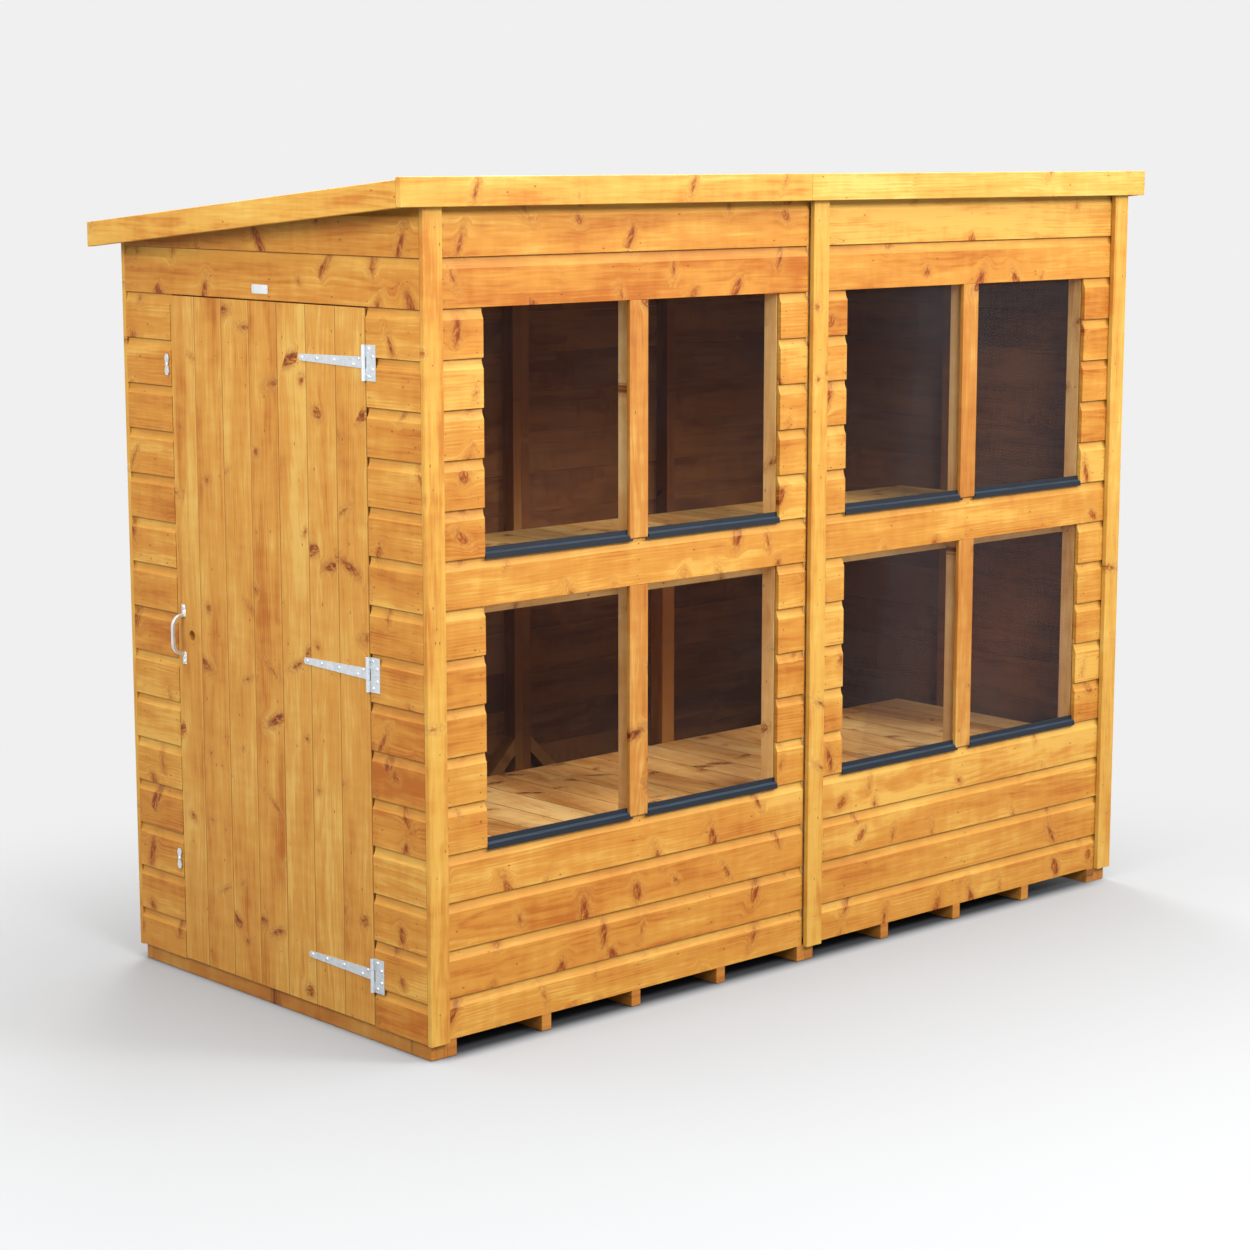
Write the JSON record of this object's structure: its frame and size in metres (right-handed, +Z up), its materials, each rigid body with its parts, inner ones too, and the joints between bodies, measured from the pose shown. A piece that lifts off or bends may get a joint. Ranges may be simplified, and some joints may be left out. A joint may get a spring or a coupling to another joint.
{
  "type": "potting shed",
  "caption": "Wooden pent potting shed with shiplap walls, a glazed front over two tiers of staging, and a boarded end door on T-hinges with turn buttons.",
  "frame": {"origin": "on the ground, under the middle of the shed's bounding box", "axes": "+X along the window front, away from the door end; +Y from the window front to the back wall; +Z up"},
  "size_m": [2.501, 1.201, 1.921],
  "materials": {
    "cladding_timber": "dip-treated softwood, matt, knotty",
    "trim_timber": "dip-treated softwood, planed, matt",
    "door_timber": "dip-treated softwood boards, planed, matt",
    "framing_timber": "dip-treated softwood, planed, matt",
    "staging_timber": "softwood boards, planed, matt",
    "glazing": "clear flat sheet",
    "sill_plastic": "slate-coloured extrusion, satin",
    "zinc_steel": "zinc-plated pressed steel",
    "roofing_felt": "mineral-faced roofing felt, matt"
  },
  "bodies": {
    "shed": {"back_boards_left": "cladding_timber", "back_boards_right": "cladding_timber", "back_frame_left": "framing_timber", "back_frame_right": "framing_timber", "back_strip_joint": "trim_timber", "back_strip_left": "trim_timber", "back_strip_right": "trim_timber", "bench_boards": "staging_timber", "bench_posts": "staging_timber", "bench_rails": "staging_timber", "door_wall_boards": "cladding_timber", "door_wall_frame": "framing_timber", "end_bearers": "framing_timber", "end_wall_boards": "cladding_timber", "end_wall_frame": "framing_timber", "floor_bearers": "framing_timber", "floor_boards_left": "framing_timber", "floor_boards_right": "framing_timber", "front_boards_left": "cladding_timber", "front_boards_right": "cladding_timber", "front_fascia_left": "trim_timber", "front_fascia_right": "trim_timber", "front_frame_left": "framing_timber", "front_frame_right": "framing_timber", "front_strip_joint": "trim_timber", "front_strip_left": "trim_timber", "front_strip_right": "trim_timber", "hinge_plate_bottom": "zinc_steel", "hinge_plate_middle": "zinc_steel", "hinge_plate_top": "zinc_steel", "mullions_left": "cladding_timber", "mullions_right": "cladding_timber", "roof_battens": "framing_timber", "roof_boards_left": "framing_timber", "roof_boards_right": "framing_timber", "roof_felt": "roofing_felt", "shelf_boards": "staging_timber", "side_fascia_left": "trim_timber", "side_fascia_right": "trim_timber", "turn_button_pivots": "zinc_steel", "window_panes_left": "glazing", "window_panes_right": "glazing", "window_sills_left": "sill_plastic", "window_sills_right": "sill_plastic"},
    "door": {"door_boards": "door_timber", "door_ledges": "door_timber", "door_braces": "door_timber", "pull_handle": "zinc_steel", "hinge_strap_top": "zinc_steel", "hinge_strap_middle": "zinc_steel", "hinge_strap_bottom": "zinc_steel"},
    "turn_button_top": {"turn_button_top": "zinc_steel"},
    "turn_button_bottom": {"turn_button_bottom": "zinc_steel"}
  },
  "joints": [
    {"name": "door_hinge", "type": "hinge", "parent": "shed", "child": "door", "pos_m": [-1.1848, -0.3815, 0.8405], "axis": [0, 0, 1], "range_deg": [0, 170]},
    {"name": "turn_button_top_turn", "type": "hinge", "parent": "shed", "child": "turn_button_top", "pos_m": [-1.1823, 0.379, 1.4785], "axis": [1, 0, 0], "continuous": true},
    {"name": "turn_button_bottom_turn", "type": "hinge", "parent": "shed", "child": "turn_button_bottom", "pos_m": [-1.1823, 0.379, 0.286], "axis": [1, 0, 0], "continuous": true}
  ]
}
